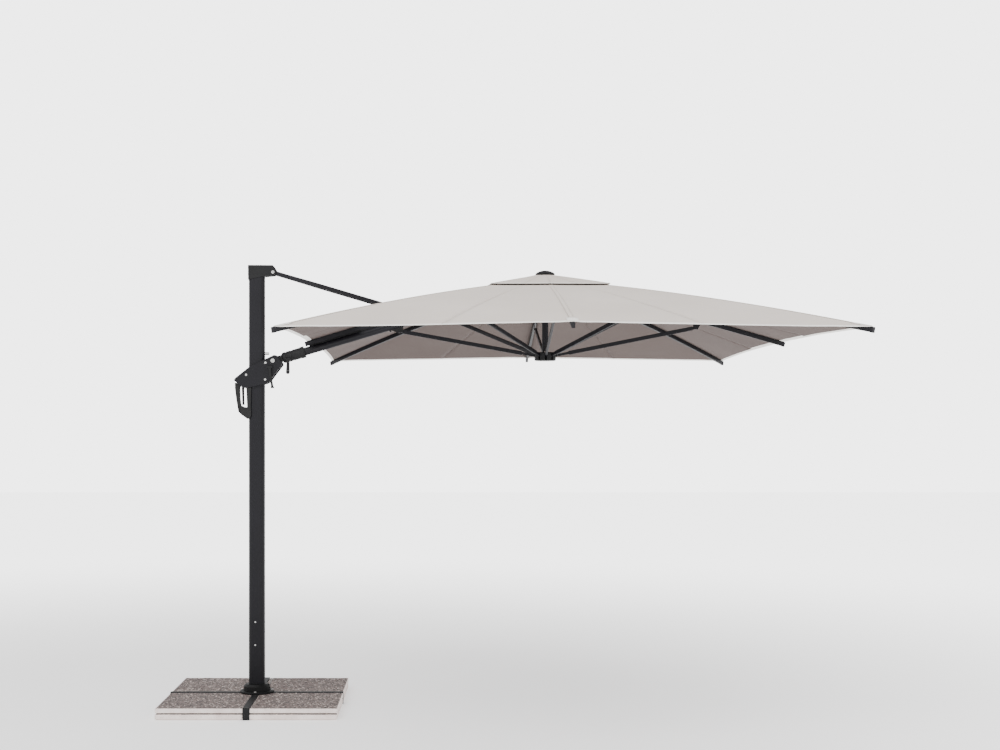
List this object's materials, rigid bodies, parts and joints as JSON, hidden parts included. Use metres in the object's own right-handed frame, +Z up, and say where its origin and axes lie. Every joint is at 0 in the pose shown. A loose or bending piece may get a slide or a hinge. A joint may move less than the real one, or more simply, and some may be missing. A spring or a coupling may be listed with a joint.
{
  "type": "cantilever parasol",
  "caption": "Free-arm garden parasol: rectangular cloth canopy on a folding, tilting boom beside a turning mast, held down by a slab-filled cross base.",
  "frame": {"origin": "on the ground under the mast's centre, on the base's underside", "axes": "+Z up, +X along the boom towards the canopy, +Y to the far side"},
  "size_m": [3.8954, 4.0428, 2.776],
  "materials": {
    "frame_aluminium": "matt anthracite powder coat",
    "base_steel": "black powder coat",
    "bolts": "zinc plated",
    "black_plastic": "moulded matt",
    "slabs": "exposed aggregate",
    "canopy_cloth": "woven polyester, warm grey"
  },
  "bodies": {
    "base": {"cross_base": "base_steel", "cross_end_caps": "black_plastic", "slabs_lower": "slabs", "slabs_upper": "slabs", "turntable": "base_steel", "turntable_bolts": "bolts"},
    "mast": {"mast_foot": "frame_aluminium", "mast_tube": "frame_aluminium", "mast_head": "frame_aluminium", "head_bolt": "bolts", "mast_fittings": "bolts"},
    "foot_lock": {"foot_lock_loop": "bolts"},
    "strut": {"strut": "frame_aluminium"},
    "carrier": {"strut_ring": "frame_aluminium", "boom_knuckle": "frame_aluminium"},
    "tilt_lock": {"tilt_lock_lever": "black_plastic"},
    "slider": {"slider_plate_near": "frame_aluminium", "slider_plate_far": "frame_aluminium", "slider_sleeve": "black_plastic", "slider_glides": "black_plastic", "slider_grip": "black_plastic", "slider_bolts": "bolts"},
    "trigger": {"release_trigger": "black_plastic"},
    "clamp_lever": {"clamp_lever": "black_plastic"},
    "boom": {"boom_tube": "frame_aluminium", "boom_fork": "frame_aluminium", "boom_rail": "frame_aluminium", "boom_bracket": "frame_aluminium", "panel_w": "canopy_cloth"},
    "hub": {"crown_hub": "frame_aluminium", "central_tube": "frame_aluminium", "crown_cap": "black_plastic"},
    "lower_hub": {"lower_hub": "frame_aluminium"},
    "rib_e": {"rib_e": "frame_aluminium", "panel_e": "canopy_cloth"},
    "stretcher_e": {"stretcher_e": "frame_aluminium"},
    "rib_ne": {"rib_ne": "frame_aluminium", "panel_ne": "canopy_cloth"},
    "stretcher_ne": {"stretcher_ne": "frame_aluminium"},
    "rib_n": {"rib_n": "frame_aluminium", "panel_n": "canopy_cloth"},
    "stretcher_n": {"stretcher_n": "frame_aluminium"},
    "rib_nw": {"rib_nw": "frame_aluminium", "panel_nw": "canopy_cloth"},
    "stretcher_nw": {"stretcher_nw": "frame_aluminium"},
    "stretcher_w": {"stretcher_w": "frame_aluminium"},
    "rib_sw": {"rib_sw": "frame_aluminium", "panel_sw": "canopy_cloth"},
    "stretcher_sw": {"stretcher_sw": "frame_aluminium"},
    "rib_s": {"rib_s": "frame_aluminium", "panel_s": "canopy_cloth"},
    "stretcher_s": {"stretcher_s": "frame_aluminium"},
    "rib_se": {"rib_se": "frame_aluminium", "panel_se": "canopy_cloth"},
    "stretcher_se": {"stretcher_se": "frame_aluminium"}
  },
  "joints": [
    {"name": "mast_swivel", "type": "hinge", "parent": "base", "child": "mast", "pos_m": [0, 0, 0.09], "axis": [0, 0, 1], "continuous": true},
    {"name": "foot_lock", "type": "hinge", "parent": "mast", "child": "foot_lock", "pos_m": [0.078, 0, 0.1085], "axis": [0, 1, 0], "range_deg": [0, 50]},
    {"name": "fold", "type": "hinge", "parent": "mast", "child": "strut", "pos_m": [0.105, 0, 2.73051], "axis": [0, 1, 0], "range_deg": [0, 67.5], "deforming": ["panel_e", "panel_ne", "panel_n", "panel_nw", "panel_w", "panel_sw", "panel_s", "panel_se"]},
    {"name": "ring_turn", "type": "hinge", "parent": "strut", "child": "carrier", "pos_m": [1.04944, 0, 2.45076], "axis": [0, 1, 0], "range_deg": [-135.5, 0.5]},
    {"name": "slider_turn", "type": "hinge", "parent": "carrier", "child": "slider", "pos_m": [0.105, 0, 2.171], "axis": [0, 1, 0], "range_deg": [-0.5, 68]},
    {"name": "tilt_lock", "type": "hinge", "parent": "carrier", "child": "tilt_lock", "pos_m": [0.20177, 0, 2.17881], "axis": [0, 1, 0], "range_deg": [-50, 0]},
    {"name": "grip_trigger", "type": "slide", "parent": "slider", "child": "trigger", "axis": [-1, 0, 0], "range_m": [0, 0.005], "stiffness_N_per_m": 2500, "springref_m": -0.001},
    {"name": "clamp_lever", "type": "hinge", "parent": "slider", "child": "clamp_lever", "pos_m": [0.087, -0.054, 2.133], "axis": [0, 1, 0], "range_deg": [-85, 0]},
    {"name": "side_tilt", "type": "hinge", "parent": "carrier", "child": "boom", "pos_m": [0.105, 0, 2.171], "axis": [0.9588, 0, 0.284], "range_deg": [-40, 40]},
    {"name": "hub_turn", "type": "hinge", "parent": "boom", "child": "hub", "pos_m": [1.8264, 0, 2.63397], "axis": [0, 1, 0], "range_deg": [-0.5, 68]},
    {"name": "rib_e_fold", "type": "hinge", "parent": "hub", "child": "rib_e", "pos_m": [1.8784, 0, 2.663], "axis": [0, 1, 0], "range_deg": [-0.5, 69.65]},
    {"name": "stretcher_e_turn", "type": "hinge", "parent": "rib_e", "child": "stretcher_e", "pos_m": [2.78151, 0, 2.38187], "axis": [0, 1, 0], "range_deg": [-144.79, 0.5]},
    {"name": "rib_ne_fold", "type": "hinge", "parent": "hub", "child": "rib_ne", "pos_m": [1.8576, 0.0416, 2.663], "axis": [-0.8, 0.6, 0], "range_deg": [-0.5, 74.7]},
    {"name": "stretcher_ne_turn", "type": "hinge", "parent": "rib_ne", "child": "stretcher_ne", "pos_m": [2.40012, 0.76497, 2.48286], "axis": [-0.8, 0.6, 0], "range_deg": [-143.09, 0.5]},
    {"name": "rib_n_fold", "type": "hinge", "parent": "hub", "child": "rib_n", "pos_m": [1.8264, 0.052, 2.663], "axis": [-1, 0, 0], "range_deg": [-0.5, 73]},
    {"name": "stretcher_n_turn", "type": "hinge", "parent": "rib_n", "child": "stretcher_n", "pos_m": [1.8264, 0.95609, 2.433], "axis": [-1, 0, 0], "range_deg": [-145.5, 0.5]},
    {"name": "rib_nw_fold", "type": "hinge", "parent": "hub", "child": "rib_nw", "pos_m": [1.7952, 0.0416, 2.663], "axis": [-0.8, -0.6, 0], "range_deg": [-0.5, 74.7]},
    {"name": "stretcher_nw_turn", "type": "hinge", "parent": "rib_nw", "child": "stretcher_nw", "pos_m": [1.25267, 0.76497, 2.48286], "axis": [-0.8, -0.6, 0], "range_deg": [-143.09, 0.5]},
    {"name": "stretcher_w_turn", "type": "hinge", "parent": "boom", "child": "stretcher_w", "pos_m": [0.90743, 0, 2.35967], "axis": [0, -1, 0], "range_deg": [-144.75, 0.5]},
    {"name": "rib_sw_fold", "type": "hinge", "parent": "hub", "child": "rib_sw", "pos_m": [1.7952, -0.0416, 2.663], "axis": [0.8, -0.6, 0], "range_deg": [-0.5, 74.7]},
    {"name": "stretcher_sw_turn", "type": "hinge", "parent": "rib_sw", "child": "stretcher_sw", "pos_m": [1.25267, -0.76497, 2.48286], "axis": [0.8, -0.6, 0], "range_deg": [-143.09, 0.5]},
    {"name": "rib_s_fold", "type": "hinge", "parent": "hub", "child": "rib_s", "pos_m": [1.8264, -0.052, 2.663], "axis": [1, 0, 0], "range_deg": [-0.5, 73]},
    {"name": "stretcher_s_turn", "type": "hinge", "parent": "rib_s", "child": "stretcher_s", "pos_m": [1.8264, -0.95609, 2.433], "axis": [1, 0, 0], "range_deg": [-145.5, 0.5]},
    {"name": "rib_se_fold", "type": "hinge", "parent": "hub", "child": "rib_se", "pos_m": [1.8576, -0.0416, 2.663], "axis": [0.8, 0.6, 0], "range_deg": [-0.5, 74.7]},
    {"name": "stretcher_se_turn", "type": "hinge", "parent": "rib_se", "child": "stretcher_se", "pos_m": [2.40012, -0.76497, 2.48286], "axis": [0.8, 0.6, 0], "range_deg": [-143.09, 0.5]},
    {"name": "lower_hub_turn", "type": "hinge", "parent": "stretcher_n", "child": "lower_hub", "pos_m": [1.8264, 0.052, 2.203], "axis": [-1, 0, 0], "range_deg": [-0.5, 73]}
  ],
  "couplings": [
    {"joint": "ring_turn", "follows": "fold", "ratio": -2},
    {"joint": "slider_turn", "follows": "fold", "ratio": 1},
    {"joint": "hub_turn", "follows": "fold", "ratio": 1},
    {"joint": "rib_e_fold", "follows": "fold", "ratio": 1.0244},
    {"joint": "stretcher_e_turn", "follows": "fold", "ratio": -2.1376},
    {"joint": "rib_ne_fold", "follows": "fold", "ratio": 1.0993},
    {"joint": "stretcher_ne_turn", "follows": "fold", "ratio": -2.1124},
    {"joint": "rib_n_fold", "follows": "fold", "ratio": 1.0741},
    {"joint": "stretcher_n_turn", "follows": "fold", "ratio": -2.1481},
    {"joint": "rib_nw_fold", "follows": "fold", "ratio": 1.0993},
    {"joint": "stretcher_nw_turn", "follows": "fold", "ratio": -2.1124},
    {"joint": "stretcher_w_turn", "follows": "fold", "ratio": -2.137},
    {"joint": "rib_sw_fold", "follows": "fold", "ratio": 1.0993},
    {"joint": "stretcher_sw_turn", "follows": "fold", "ratio": -2.1124},
    {"joint": "rib_s_fold", "follows": "fold", "ratio": 1.0741},
    {"joint": "stretcher_s_turn", "follows": "fold", "ratio": -2.1481},
    {"joint": "rib_se_fold", "follows": "fold", "ratio": 1.0993},
    {"joint": "stretcher_se_turn", "follows": "fold", "ratio": -2.1124},
    {"joint": "lower_hub_turn", "follows": "fold", "ratio": 1.0741}
  ]
}
